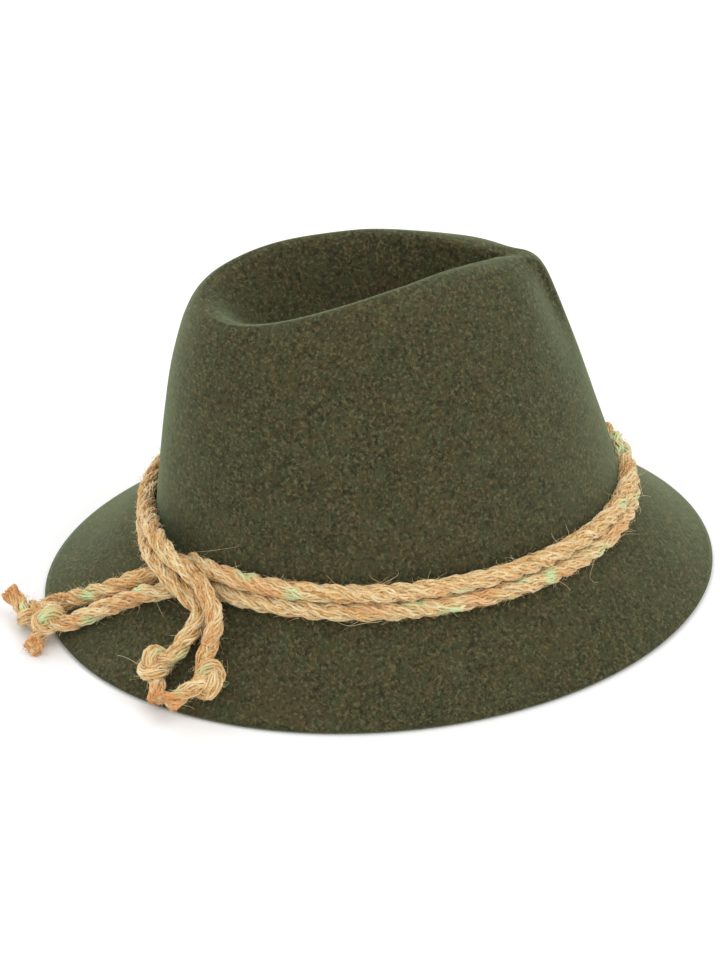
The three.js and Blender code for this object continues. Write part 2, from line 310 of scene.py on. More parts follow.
# turn, then how far out from the crown wall and up from its base, in cordSeats
upperTieStart = [(168, 2.05, 0.33), (165.5, 1.5, 1.0), (162.5, 1.14, 1.76), (159, 1.02, 2.33)]
lowerTieStart = [(161.5, 2.67, -0.33), (159, 1.76, 0.21), (156, 1.21, 0.6)]
upperTieEnd = [(-176, 1.1, 2.81), (-181, 1.52, 3.29), (-186, 2.14, 3.81), (-191, 2.67, 4.1)]
lowerTieEnd = [(-171, 1.05, 0.64), (-177, 1.33, 0.9), (-183, 1.95, 1.48), (-188.5, 2.76, 1.98)]
downLeftTie = [(166.5, 3.24, 2.1), (161.5, 3.57, 1.66), (157.5, 3.6, 0.9)]
downRightTie = [(164.5, 3.14, 3.95), (160.3, 3.24, 3.5), (156.3, 3.1, 2.9), (152.6, 2.95, 2.1)]

# points of the free ends, from the crown's middle
leftUpperPoints = [
    (-0.0142, 0.1184, 0.028),
    (-0.0096, 0.1258, 0.0232),
    (-0.0034, 0.1334, 0.0184),
    (0.0018, 0.1398, 0.0144),
    (0.0054, 0.1446, 0.0119),
]
leftLowerPoints = [
    (-0.0232, 0.1168, 0.0261),
    (-0.0191, 0.124, 0.022),
    (-0.0154, 0.1308, 0.0182),
    (-0.0128, 0.1366, 0.015),
    (-0.011, 0.1418, 0.0123),
]
downLeftPoints = [(-0.0486, 0.1002, 0.0292), (-0.053, 0.1042, 0.025), (-0.0576, 0.1114, 0.0204)]
downRightPoints = [
    (-0.0549, 0.0973, 0.0342),
    (-0.0582, 0.0972, 0.0298),
    (-0.0616, 0.0989, 0.026),
    (-0.0666, 0.1032, 0.0216),
]

endKnots = {  # the side that the loops lie on, the way the cut stub points, its length, and how far
    # the loops are drawn in: the jute fills the knot, so they lie closer than the bare route
    "left_upper": ((-1, 0, -0.1), (0.75, 0.3, 0.5), 0.008, 0.68),
    "left_lower": ((0.3, 0.1, 1), (-0.8, 0.45, 0.08), 0.012, 0.7),
    "down_left": ((0.35, 0.94, 0), (-0.85, 0.2, -0.3), 0.008, 0.8),
    "down_right": ((-0.35, -0.94, 0), (-0.25, 0.9, -0.2), 0.012, 0.8),
}


def besideCrown(turn, out, up):
    # a point beside the crown's wall, out from it and up from its base in cordSeats
    radians = math.radians(turn)
    crown = crownAt(radians)
    rise = up * cordSeat
    share = max(rise, 0) / crown["height"]
    low = 0.0
    high = len(wallRows) - 1.0
    for _ in range(cordRoute["seatSearchSteps"]):
        middle = (low + high) / 2
        if sampleRows(wallRows, middle)[0] < share:
            low = middle
        else:
            high = middle
    inward = sum(a * b for a, b in zip(crown["weights"], sampleRows(wallRows, low)[1:]))
    plan = crown["base"].lerp(crown["rim"], inward)
    acrossOval = -felt["baseHalfLength"] * math.sin(radians)
    alongOval = -felt["baseHalfWidth"] * math.cos(radians)
    plan = plan + Vector((acrossOval, alongOval)).normalized() * out * cordSeat
    return Vector((plan.x, plan.y, felt["baseHeight"] + rise))


def restingHeight(turn):
    # how high a cord lies that touches both the wall and the brim, in cordSeats
    crown = crownAt(math.radians(turn))
    slope = math.atan2(felt["baseHeight"] - felt["edgeHeight"], (crown["base"] - crown["edge"]).length)
    return 1 / math.cos(slope) - math.tan(slope)


def bandRoute(start, end, layer):
    rows = list(start)
    turn = cordRoute["tieFrontTurn"]
    while turn >= cordRoute["tieBackTurn"]:
        up = restingHeight(turn) + layer * (cordSeat + cordRoute["radius"]) / cordSeat
        rows.append((turn, 1, up))
        turn -= cordRoute["turnStep"]
    return [besideCrown(*row) for row in rows + list(end)]


def curvePoints(points, perSpan=24):
    # the centripetal curve through the points, as the frame's cords follow it
    knots = [Vector(p) for p in points]
    knots = [knots[0] * 2 - knots[1]] + knots + [knots[-1] * 2 - knots[-2]]
    line = []
    for a, b, c, d in zip(knots, knots[1:], knots[2:], knots[3:]):
        tb = (b - a).length ** 0.5
        tc = tb + (c - b).length ** 0.5
        td = tc + (d - c).length ** 0.5
        for i in range(perSpan):
            t = tb + (tc - tb) * i / perSpan
            ab = a * ((tb - t) / tb) + b * (t / tb)
            bc = b * ((tc - t) / (tc - tb)) + c * ((t - tb) / (tc - tb))
            cd = c * ((td - t) / (td - tc)) + d * ((t - tc) / (td - tc))
            abc = ab * ((tc - t) / tc) + bc * (t / tc)
            bcd = bc * ((td - t) / (td - tb)) + cd * ((t - tb) / (td - tb))
            line.append(abc * ((tc - t) / (tc - tb)) + bcd * ((t - tb) / (tc - tb)))
    line.append(knots[-2].copy())
    return line


def runOn(route):
    # the first two points of what goes on from a route, past the gap between them
    line = curvePoints(route)
    along = (line[-1] - line[-2]).normalized()
    steps = (cordRoute["joinGap"], cordRoute["joinGap"] + cordRoute["radius"] / 2)
    return [line[-1] + along * step for step in steps]


def knotRoute(tail, side, stub, stubLength, drawnIn):
    # an overhand knot that goes on from a tail, as an opened trefoil, and its cut stub
    line = curvePoints(tail)
    back = (line[-2] - line[-1]).normalized()
    lobes = Vector(side)
    lobes = (lobes - back * lobes.dot(back)).normalized()
    lift = back.cross(lobes)
    lobe = cordRoute["knotLobe"]
    neck = cordRoute["knotNeck"] * lobe
    beside = -cordRoute["knotOffset"] * lobe
    over = cordRoute["knotEntry"] * cordRoute["knotLift"]
    start = runOn(tail)
    middle = start[1] - back * (neck + cordRoute["radius"]) - lobes * beside - lift * over
    leaving = middle - back * neck + lobes * beside - lift * over
    route = [start[0], start[1], middle + (back * neck + lobes * beside + lift * over) * drawnIn]
    degrees = -cordRoute["knotOpening"]
    while degrees <= cordRoute["knotOpening"]:
        t = math.radians(degrees)
        x = lobe * (math.sin(t) + cordRoute["knotLoop"] * math.sin(2 * t))
        y = lobe * (math.cos(t) - cordRoute["knotLoop"] * math.cos(2 * t))
        z = -cordRoute["knotLift"] * math.sin(3 * t)
        route.append(middle + (back * x + lobes * y + lift * z) * drawnIn)
        degrees += cordRoute["knotTurnStep"]
    cut = leaving + Vector(stub).normalized() * stubLength
    leaving = middle + (leaving - middle) * drawnIn
    route += [leaving, leaving.lerp(cut, 0.5), cut]
    return route


def tailRoute(band, tie, points):
    return runOn(band) + [besideCrown(*row) for row in tie] + [Vector(p) for p in points]


# Jute cord, laid up from strands

jute = {
    "plies": 3,
    "radius": 0.0041,
    "lay": 0.031,
    "plyShare": 0.58,
    "strandsPerPly": 10,
    "coreInset": 0.0008,
    # the core strands are coloured darker than the strands round them: painted shade deep in the cord,
    # between the strands
    "coreShadeTint": 0.2,
    "plyTint": 0.12,
    "strandLay": -0.034,
    "strandRadius": 0.00057,
    "strandInset": 1.05,
    "step": 0.0015,
    "bevelSteps": 1,
    "knotRadiusShare": 0.9,
    "knotBlend": 0.004,
    "knotBlendFrom": 0.002,
    "cutFlare": 1.08,
    "cutReach": 0.004,
    "rustReach": 0.008,
    "rustStart": 1.15,
    "groundClearance": 0.0002,
    "spotSharpness": 1.6,
    "spotFloor": 0.6,
    "tubeWeld": 0.0000005,
    "capNudge": 0.00001,
    "mintSpots": {"every": 0.042, "reach": (0.0018, 0.0045), "strength": 1.0},
    "rustSpots": {"every": 0.02, "reach": (0.004, 0.012), "strength": 0.85},
}

unevenJute = {  # the length over which each thing wanders along a cord, and how far
    "lay": (0.07, 0.6),
    "plyTurn": (0.03, 0.16),
    "plyReach": (0.02, 0.1),
    "strandTurn": (0.01, 0.55),
    "strandThickness": (0.009, 0.34),
    "strandReach": (0.008, 0.55),
    "spots": (0.012, 0.4),
    "cutRust": (0.005, 0.3),
    "waves": (1.0, 0.57, 0.31),  # the waves that add up to each wander, as shares of its length
    "wavesTogether": 1.9,
}

strayFibres = {
    "perMetre": 2600,
    "length": (0.002, 0.009),
    "radius": (0.00004, 0.0001),
    "points": 6,
    "curl": 0.75,
    "lift": (0.05, 0.9),
}

shortFuzz = {
    "perMetre": 3500,
    "length": (0.0015, 0.0045),
    "radius": (0.00003, 0.00007),
    "points": 3,
    "curl": 0.9,
    "lift": (0.3, 1.0),
}

longWisps = {
    "perMetre": 42,
    "length": (0.01, 0.024),
    "radius": (0.00005, 0.00011),
    "points": 14,
    "curl": 0.42,
    "lift": (0.2, 0.8),
}

fibreHabit = {  # what every loose fibre has in common
    "root": (0.8, 0.97),
    "sideways": 0.5,
    "shortest": 0.6,
    "longerBy": 0.8,
    "tip": 0.45,
    "bendSpread": 0.4,
    "bendMean": 0.3,
    "tint": (0.5, 1.2),
    "mintChance": 0.04,
    "rustChance": 0.1,
    "rust": 0.6,
    "clearance": 0.0002,
    "feltReach": 0.002,
    "bevelSteps": 0,
}

frayedCut = {
    "count": 130,
    "length": (0.0014, 0.0032),
    "radius": (0.00012, 0.00032),
    "points": 5,
    "curl": 0.3,
    "splay": (0.15, 0.6),
    "setIn": (0.001, 0.003),
    "acrossShare": 0.9,
    "tip": 0.6,
    "rust": (0.5, 1.0),
}


def evenly(line, step):
    # points along a line with even steps, and how far along it each one lies
    points = np.array([tuple(p) for p in line])
    gone = np.concatenate([[0], np.cumsum(np.linalg.norm(np.diff(points, axis=0), axis=1))])
    count = max(int(round(gone[-1] / step)), 2)
    at = np.linspace(0, gone[-1], count + 1)
    return np.stack([np.interp(at, gone, points[:, i]) for i in range(3)], axis=1), at


def twistFreeFrames(points):
    tangents = np.gradient(points, axis=0)
    tangents /= np.linalg.norm(tangents, axis=1)[:, None]
    normal = Vector(tangents[0]).orthogonal().normalized()
    normals = []
    for i, tangent in enumerate(tangents):
        along = Vector(tangent)
        if i:
            turn = Vector(tangents[i - 1]).rotation_difference(along)
            normal = turn @ normal
        normal = (normal - along * normal.dot(along)).normalized()
        normals.append(tuple(normal))
    normals = np.array(normals)
    return tangents, normals, np.cross(tangents, normals)


def wander(at, rng, what):
    # a smooth random value along a cord
    length, amount = unevenJute[what]
    value = np.zeros_like(at)
    for share in unevenJute["waves"]:
        value += np.sin(2 * math.pi * at / (length * share) + rng.uniform(0, 2 * math.pi)) * share
    return value / unevenJute["wavesTogether"] * amount


def scatteredSpots(length, settings, rng):
    # where along the cord a dyed or rusty spot lies, on which side of it, and how far it reaches
    spots = []
    for _ in range(int(length / settings["every"])):
        spots.append((rng.uniform(0, length), rng.uniform(0, 2 * math.pi), rng.uniform(*settings["reach"])))
    return spots


def spotStrength(at, around, spots, settings):
    value = np.zeros_like(at)
    for place, side, reach in spots:
        near = np.exp(-(((at - place) / reach) ** 2)) * np.clip(np.cos(around - side), 0, 1)
        value = np.maximum(value, near)
    return np.clip(value * jute["spotSharpness"], 0, 1) * settings["strength"]


def layStrands(points, at, radii, seed):
    # the strands of the whole cord, each a dictionary of its points and its looks along them
    rng = random.Random(seed)
    mintSpots = scatteredSpots(at[-1], jute["mintSpots"], rng)
    rustSpots = scatteredSpots(at[-1], jute["rustSpots"], rng)
    tangents, normals, binormals = twistFreeFrames(points)
    strands = []
    twist = 2 * math.pi * at / jute["lay"] + wander(at, rng, "lay")
    for ply in range(jute["plies"]):
        angle = twist + 2 * math.pi * ply / jute["plies"] + wander(at, rng, "plyTurn")
        reach = radii * (1 - jute["plyShare"]) * (1 + wander(at, rng, "plyReach"))
        outward = np.cos(angle)[:, None] * normals + np.sin(angle)[:, None] * binormals
        across = -np.sin(angle)[:, None] * normals + np.cos(angle)[:, None] * binormals
        middle = points + outward * reach[:, None]
        plyTint = rng.uniform(-jute["plyTint"], jute["plyTint"])
        plyTwist = 2 * math.pi * at / jute["strandLay"] + rng.uniform(0, 2 * math.pi)
        # a core strand down each ply's middle fills the gaps between its strands; its low tint is painted
        # shade, as it lies deep in the cord
        strands.append({
            "path": middle,
            "thick": radii * jute["plyShare"] - jute["coreInset"],
            "tint": np.full_like(at, jute["coreShadeTint"]) + plyTint,
            "stain": np.zeros_like(at),
            "rust": np.zeros_like(at),
        })
        for strand in range(jute["strandsPerPly"]):
            place = plyTwist + 2 * math.pi * strand / jute["strandsPerPly"] + wander(at, rng, "strandTurn")
            thick = jute["strandRadius"] * radii / jute["radius"] * (1 + wander(at, rng, "strandThickness"))
            out = radii * jute["plyShare"] - thick * (jute["strandInset"] + wander(at, rng, "strandReach"))
            path = middle + outward * (np.cos(place) * out)[:, None] + across * (np.sin(place) * out)[:, None]
            aside = path - points
            around = np.arctan2((aside * binormals).sum(axis=1), (aside * normals).sum(axis=1))
            uneven = jute["spotFloor"] + wander(at, rng, "spots")
            mint = spotStrength(at, around, mintSpots, jute["mintSpots"]) * uneven
            rust = spotStrength(at, around, rustSpots, jute["rustSpots"]) * uneven
            fromCut = np.minimum(at, at[-1] - at) / jute["rustReach"]
            cutRust = np.clip(jute["rustStart"] - fromCut + wander(at, rng, "cutRust"), 0, 1)
            strands.append({
                "path": path,
                "thick": thick,
                "tint": np.full_like(at, rng.random()) + plyTint,
                "stain": mint * (1 - cutRust),
                "rust": np.maximum(rust, cutRust),
            })
    for strand in strands:
        lowest = strand["thick"] + jute["groundClearance"]
        strand["path"][:, 2] = np.maximum(strand["path"][:, 2], lowest)
    return strands


def tubesMesh(name, tubes, bevelSteps):
    # one mesh of thin tubes, closed at both ends, with what each carries written to its points
    curve = bpy.data.curves.new(name, "CURVE")
    curve.dimensions = "3D"
    curve.bevel_depth = 1.0
    curve.bevel_resolution = bevelSteps
    ring = 4 + 2 * bevelSteps  # points round a tube
    for tube in tubes:
        spline = curve.splines.new("POLY")
        spline.points.add(len(tube["path"]) - 1)
        flat = np.concatenate([tube["path"], np.ones((len(tube["path"]), 1))], axis=1)
        spline.points.foreach_set("co", flat.ravel())
        spline.points.foreach_set("radius", tube["thick"])
    holder = bpy.data.objects.new(name, curve)
    scene.collection.objects.link(holder)
    mesh = bpy.data.meshes.new_from_object(holder.evaluated_get(bpy.context.evaluated_depsgraph_get()))
    bpy.data.objects.remove(holder)
    bpy.data.curves.remove(curve)
    total = sum(len(tube["path"]) for tube in tubes) * ring
    if len(mesh.vertices) != total:
        raise ValueError(f"{name} has {len(mesh.vertices)} points where {total} were expected")
    for key in [k for k in tubes[0] if k not in ("path", "thick")]:
        layer = mesh.attributes.new(key, "FLOAT", "POINT")
        layer.data.foreach_set("value", np.repeat(np.concatenate([tube[key] for tube in tubes]), ring))
    bm = bmesh.new()
    bm.from_mesh(mesh)
    bmesh.ops.remove_doubles(bm, verts=bm.verts, dist=jute["tubeWeld"])
    for face in bm.faces:
        face.smooth = True
    bm.to_mesh(mesh)
    bm.free()
    return mesh


def closedEnds(tube):
    # doubles the first and last points with no thickness, so that the tube's ends are flat caps
    closed = {}
    for key, values in tube.items():
        closed[key] = np.concatenate([values[:1], values, values[-1:]])
    closed["thick"][0] = 0.0
    closed["thick"][-1] = 0.0
    for end, inner in ((0, 2), (-1, -3)):
        away = closed["path"][end] - closed["path"][inner]
        closed["path"][end] = closed["path"][end] + away / np.linalg.norm(away) * jute["capNudge"]
    return closed


def sliceStrands(strands, first, last, at):
    # the strands between two stations, each closed at both ends
    pieces = []
    for strand in strands:
        piece = {key: values[first:last + 1].copy() for key, values in strand.items()}
        piece["along"] = at[first:last + 1].copy()
        pieces.append(closedEnds(piece))
    return pieces


def grownFibre(start, heading, length, settings, rng, keepOff):
    # the points of one loose fibre, which curls and stays above the ground and the felt
    axis = Vector([rng.gauss(0, 1) for _ in range(3)]).normalized()
    clearance = fibreHabit["clearance"]
    path = [start]
    for _ in range(settings["points"] - 1):
        bend = settings["curl"] * (rng.gauss(0, fibreHabit["bendSpread"]) + fibreHabit["bendMean"])
        heading = (Matrix.Rotation(bend, 3, axis) @ heading).normalized()
        point = path[-1] + heading * length / settings["points"]
        near, normal, _, distance = keepOff.find_nearest(point)
        if distance < fibreHabit["feltReach"] and (point - near).dot(normal) < clearance:
            point = near + normal * clearance
        point.z = max(point.z, clearance)
        path.append(point)
    return np.array([tuple(p) for p in path])


def strayTubes(points, at, frames, radii, settings, rng, keepOff):
    # loose fibres that leave the cord's surface and curl away
    tangents, normals, binormals = frames
    steps = settings["points"]
    tubes = []
    for _ in range(round((at[-1] - at[0]) * settings["perMetre"])):
        i = rng.randrange(2, len(points) - 2)
        angle = rng.uniform(0, 2 * math.pi)
        outward = Vector(normals[i]) * math.cos(angle) + Vector(binormals[i]) * math.sin(angle)
        tangent = Vector(tangents[i]) * rng.choice((-1, 1))
        start = Vector(points[i]) + outward * radii[i] * rng.uniform(*fibreHabit["root"])
        lift = rng.uniform(*settings["lift"]) ** 2
        sideways = rng.uniform(-fibreHabit["sideways"], fibreHabit["sideways"])
        heading = tangent + outward * lift + tangent.cross(outward) * sideways
        length = rng.uniform(*settings["length"])
        length *= fibreHabit["shortest"] + fibreHabit["longerBy"] * rng.random() ** 3
        tubes.append(closedEnds({
            "path": grownFibre(start, heading.normalized(), length, settings, rng, keepOff),
            "thick": rng.uniform(*settings["radius"]) * np.linspace(1, fibreHabit["tip"], steps),
            "tint": np.full(steps, rng.uniform(*fibreHabit["tint"])),
            "stain": np.full(steps, 1.0 if rng.random() < fibreHabit["mintChance"] else 0.0),
            "rust": np.full(steps, fibreHabit["rust"] if rng.random() < fibreHabit["rustChance"] else 0.0),
            "along": np.full(steps, at[i]),
        }))
    return tubes


def frayTubes(points, radius, rng, keepOff):
    # the brush of fibres at the cut end of a cord, which is the last of the points
    cut = Vector(points[-1])
    heading = (cut - Vector(points[-4])).normalized()
    side = heading.orthogonal().normalized()
    steps = frayedCut["points"]
    tubes = []
    for _ in range(frayedCut["count"]):
        outward = Matrix.Rotation(rng.uniform(0, 2 * math.pi), 3, heading) @ side
        share = math.sqrt(rng.random())
        start = cut - heading * rng.uniform(*frayedCut["setIn"])
        start += outward * radius * share * frayedCut["acrossShare"]
        start.z = max(start.z, fibreHabit["clearance"])
        splayed = heading + outward * share * rng.uniform(*frayedCut["splay"])
        length = rng.uniform(*frayedCut["length"])
        tubes.append(closedEnds({
            "path": grownFibre(start, splayed.normalized(), length, frayedCut, rng, keepOff),
            "thick": rng.uniform(*frayedCut["radius"]) * np.linspace(1, frayedCut["tip"], steps),
            "tint": np.full(steps, rng.random()),
            "stain": np.zeros(steps),
            "rust": np.full(steps, rng.uniform(*frayedCut["rust"])),
            "along": np.full(steps, rng.random()),
        }))
    return tubes


# Materials

def newMaterial(name):
    material = bpy.data.materials.new(name)
    material.use_nodes = True
    nodes = material.node_tree.nodes
    return material, nodes, material.node_tree.links, nodes["Principled BSDF"]


feltLook = {
    "grainScale": 680.0,
    "grainStretch": 0.25,
    "grainTurns": [(0.3, 0.2, 0.0), (1.3, 0.7, 0.9), (0.5, 1.4, 2.0)],
    "grainDetail": 2.0,
    "grainRoughness": 0.6,
    "grainDistortion": 0.4,
    "patchDetail": 3.0,
    "flecks": [
        (0.44, (0.0174, 0.0157, 0.0078)),
        (0.54, (0.0348, 0.0313, 0.0139)),
        (0.62, (0.0574, 0.0513, 0.0235)),
        (0.74, (0.1087, 0.1001, 0.0522)),
    ],
    "patches": [  # scale, mask from, mask to, colour, strength
        (110.0, 0.5, 0.68, (0.0191, 0.02, 0.0104), 0.42),
        (75.0, 0.5, 0.7, (0.0609, 0.0644, 0.0313), 0.4),
        (45.0, 0.48, 0.7, (0.0653, 0.0461, 0.02), 0.38),
        (330.0, 0.5, 0.66, (0.0783, 0.0496, 0.0191), 0.5),
        (240.0, 0.5, 0.64, (0.0418, 0.0505, 0.0209), 0.6),
        (650.0, 0.55, 0.66, (0.1175, 0.1027, 0.0478), 0.75),
        (520.0, 0.55, 0.66, (0.0139, 0.013, 0.0078), 0.7),
    ],
    "roughness": 0.95,
    "specular": 0.12,
    "sheen": 0.36,
    "sheenRoughness": 0.5,
    "sheenTint": (0.56, 0.72, 0.42, 1),
    "bump": 0.42,
    "bumpDistance": 0.0004,
}


def fibreGrain():
    # short streaks that cross in all directions, as the fibres of felt do
    tree = bpy.data.node_groups.new("fibreGrain", "ShaderNodeTree")
    tree.interface.new_socket("Vector", in_out="INPUT", socket_type="NodeSocketVector")
    tree.interface.new_socket("Scale", in_out="INPUT", socket_type="NodeSocketFloat")
    tree.interface.new_socket("Stretch", in_out="INPUT", socket_type="NodeSocketFloat")
    tree.interface.new_socket("Streaks", in_out="OUTPUT", socket_type="NodeSocketFloat")
    nodes = tree.nodes
    links = tree.links
    entry = nodes.new("NodeGroupInput")
    leave = nodes.new("NodeGroupOutput")
    last = None
    for turn in feltLook["grainTurns"]:
        rotate = nodes.new("ShaderNodeVectorRotate")
        rotate.rotation_type = "EULER_XYZ"
        rotate.inputs["Rotation"].default_value = turn
        links.new(entry.outputs["Vector"], rotate.inputs["Vector"])
        squeeze = nodes.new("ShaderNodeCombineXYZ")
        squeeze.inputs["X"].default_value = 1.0
        squeeze.inputs["Y"].default_value = 1.0
        links.new(entry.outputs["Stretch"], squeeze.inputs["Z"])
        scaled = nodes.new("ShaderNodeVectorMath")
        scaled.operation = "MULTIPLY"
        links.new(rotate.outputs["Vector"], scaled.inputs[0])
        links.new(squeeze.outputs["Vector"], scaled.inputs[1])
        streak = nodes.new("ShaderNodeTexNoise")
        streak.inputs["Detail"].default_value = feltLook["grainDetail"]
        streak.inputs["Roughness"].default_value = feltLook["grainRoughness"]
        streak.inputs["Distortion"].default_value = feltLook["grainDistortion"]
        links.new(scaled.outputs["Vector"], streak.inputs["Vector"])
        links.new(entry.outputs["Scale"], streak.inputs["Scale"])
        if last is None:
            last = streak.outputs["Fac"]
        else:
            lighter = nodes.new("ShaderNodeMath")
            lighter.operation = "MAXIMUM"
            links.new(last, lighter.inputs[0])
            links.new(streak.outputs["Fac"], lighter.inputs[1])
            last = lighter.outputs["Value"]
    links.new(last, leave.inputs["Streaks"])
    return tree


def ramp(nodes, stops):
    node = nodes.new("ShaderNodeValToRGB")
    elements = node.color_ramp.elements
    elements[0].position = stops[0][0]
    elements[0].color = (*stops[0][1], 1)
    elements[1].position = stops[-1][0]
    elements[1].color = (*stops[-1][1], 1)
    for place, colour in stops[1:-1]:
        elements.new(place).color = (*colour, 1)
    return node


def feltMaterial(grain):
    material, nodes, links, shader = newMaterial("heathered_felt")
    place = nodes.new("ShaderNodeTexCoord")
    streaks = nodes.new("ShaderNodeGroup")
    streaks.node_tree = grain
    streaks.inputs["Scale"].default_value = feltLook["grainScale"]
    streaks.inputs["Stretch"].default_value = feltLook["grainStretch"]
    links.new(place.outputs["Object"], streaks.inputs["Vector"])
    colour = ramp(nodes, feltLook["flecks"])
    links.new(streaks.outputs["Streaks"], colour.inputs["Fac"])
    last = colour.outputs["Color"]
    for scale, low, high, tint, strength in feltLook["patches"]:
        patch = nodes.new("ShaderNodeTexNoise")
        patch.inputs["Scale"].default_value = scale
        patch.inputs["Detail"].default_value = feltLook["patchDetail"]
        links.new(place.outputs["Object"], patch.inputs["Vector"])
        mask = nodes.new("ShaderNodeMapRange")
        mask.inputs["From Min"].default_value = low
        mask.inputs["From Max"].default_value = high
        mask.inputs["To Max"].default_value = strength
        links.new(patch.outputs["Fac"], mask.inputs["Value"])
        mix = nodes.new("ShaderNodeMix")
        mix.data_type = "RGBA"
        mix.inputs["B"].default_value = (*tint, 1)
        links.new(mask.outputs["Result"], mix.inputs["Factor"])
        links.new(last, mix.inputs["A"])
        last = mix.outputs["Result"]
    links.new(last, shader.inputs["Base Color"])
    shader.inputs["Roughness"].default_value = feltLook["roughness"]
    shader.inputs["Specular IOR Level"].default_value = feltLook["specular"]
    shader.inputs["Sheen Weight"].default_value = feltLook["sheen"]
    shader.inputs["Sheen Roughness"].default_value = feltLook["sheenRoughness"]
    shader.inputs["Sheen Tint"].default_value = feltLook["sheenTint"]
    bump = nodes.new("ShaderNodeBump")
    bump.inputs["Strength"].default_value = feltLook["bump"]
    bump.inputs["Distance"].default_value = feltLook["bumpDistance"]
    links.new(streaks.outputs["Streaks"], bump.inputs["Height"])
    links.new(bump.outputs["Normal"], shader.inputs["Normal"])
    return material


juteLook = {
    "fibres": [
        (0.26, (0.378, 0.162, 0.05)),
        (0.38, (0.594, 0.324, 0.113)),
        (0.50, (0.738, 0.513, 0.234)),
        (0.64, (0.81, 0.666, 0.396)),
        (0.80, (0.837, 0.783, 0.576)),
    ],
    "stain": (0.44, 0.86, 0.47),
    "stainStrength": 0.75,
    "rust": (0.68, 0.27, 0.075),
    "rustStrength": 0.75,
    "slowScale": 320.0,
    "slowDetail": 3.0,
    "fineScale": 1500.0,
    "fineDetail": 2.0,
    "fineShare": 0.42,
    "tintPlace": 0.7,
    "tintWeight": 0.2,
    "levelShift": 0.1,
    "roughness": 0.88,
    "specular": 0.2,
    "sheen": 0.25,
    "bump": 0.9,
    "bumpDistance": 0.0003,
}


def attributeNode(nodes, name):
    node = nodes.new("ShaderNodeAttribute")
    node.attribute_name = name
    return node


def mathNode(nodes, links, operation, source, second):
    node = nodes.new("ShaderNodeMath")
    node.operation = operation
    node.inputs[1].default_value = second
    links.new(source, node.inputs[0])
    return node


def tintedBy(nodes, links, below, mask, colour, strength):
    mix = nodes.new("ShaderNodeMix")
    mix.data_type = "RGBA"
    mix.inputs["B"].default_value = (*colour, 1)
    amount = mathNode(nodes, links, "MULTIPLY", mask, strength)
    links.new(amount.outputs["Value"], mix.inputs["Factor"])
    links.new(below, mix.inputs["A"])
    return mix.outputs["Result"]


def juteMaterial():
    material, nodes, links, shader = newMaterial("jute_fibre")
    along = attributeNode(nodes, "along")
    tint = attributeNode(nodes, "tint")
    place = nodes.new("ShaderNodeCombineXYZ")
    tintPlace = mathNode(nodes, links, "MULTIPLY", tint.outputs["Fac"], juteLook["tintPlace"])
    links.new(along.outputs["Fac"], place.inputs["X"])
    links.new(tintPlace.outputs["Value"], place.inputs["Y"])
    slow = nodes.new("ShaderNodeTexNoise")
    slow.inputs["Scale"].default_value = juteLook["slowScale"]
    slow.inputs["Detail"].default_value = juteLook["slowDetail"]
    links.new(place.outputs["Vector"], slow.inputs["Vector"])
    where = nodes.new("ShaderNodeTexCoord")
    fine = nodes.new("ShaderNodeTexNoise")
    fine.inputs["Scale"].default_value = juteLook["fineScale"]
    fine.inputs["Detail"].default_value = juteLook["fineDetail"]
    links.new(where.outputs["Object"], fine.inputs["Vector"])
    mixed = nodes.new("ShaderNodeMix")
    mixed.data_type = "FLOAT"
    mixed.inputs["Factor"].default_value = juteLook["fineShare"]
    links.new(slow.outputs["Fac"], mixed.inputs["A"])
    links.new(fine.outputs["Fac"], mixed.inputs["B"])
    level = mathNode(nodes, links, "MULTIPLY_ADD", tint.outputs["Fac"], juteLook["tintWeight"])
    shift = mathNode(nodes, links, "SUBTRACT", mixed.outputs["Result"], juteLook["levelShift"])
    links.new(shift.outputs["Value"], level.inputs[2])
    colour = ramp(nodes, juteLook["fibres"])
    links.new(level.outputs["Value"], colour.inputs["Fac"])
    last = colour.outputs["Color"]
    for name in ("rust", "stain"):
        mask = attributeNode(nodes, name)
        last = tintedBy(nodes, links, last, mask.outputs["Fac"], juteLook[name], juteLook[name + "Strength"])
    links.new(last, shader.inputs["Base Color"])
    shader.inputs["Roughness"].default_value = juteLook["roughness"]
    shader.inputs["Specular IOR Level"].default_value = juteLook["specular"]
    shader.inputs["Sheen Weight"].default_value = juteLook["sheen"]
    bump = nodes.new("ShaderNodeBump")
    bump.inputs["Strength"].default_value = juteLook["bump"]
    bump.inputs["Distance"].default_value = juteLook["bumpDistance"]
    links.new(fine.outputs["Fac"], bump.inputs["Height"])
    links.new(bump.outputs["Normal"], shader.inputs["Normal"])
    return material


grain = fibreGrain()
feltFinish = feltMaterial(grain)
juteFinish = juteMaterial()
print("materials made")


# Building

def makeFelt():
    body = addObject("felt_body", feltMesh(), feltFinish)
    wall = body.modifiers.new("wall", "SOLIDIFY")
    wall.thickness = felt["thickness"]
    wall.offset = -1.0
    wall.use_even_offset = False
    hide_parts("felt_hat")
    return body


def surfaceTree(mesh):
    bm = bmesh.new()
    bm.from_mesh(mesh)
    tree = BVHTree.FromBMesh(bm)
    bm.free()
    return tree


feltBody = makeFelt()
feltSurface = surfaceTree(feltBody.data)
print("felt made:", len(feltBody.data.polygons), "faces")


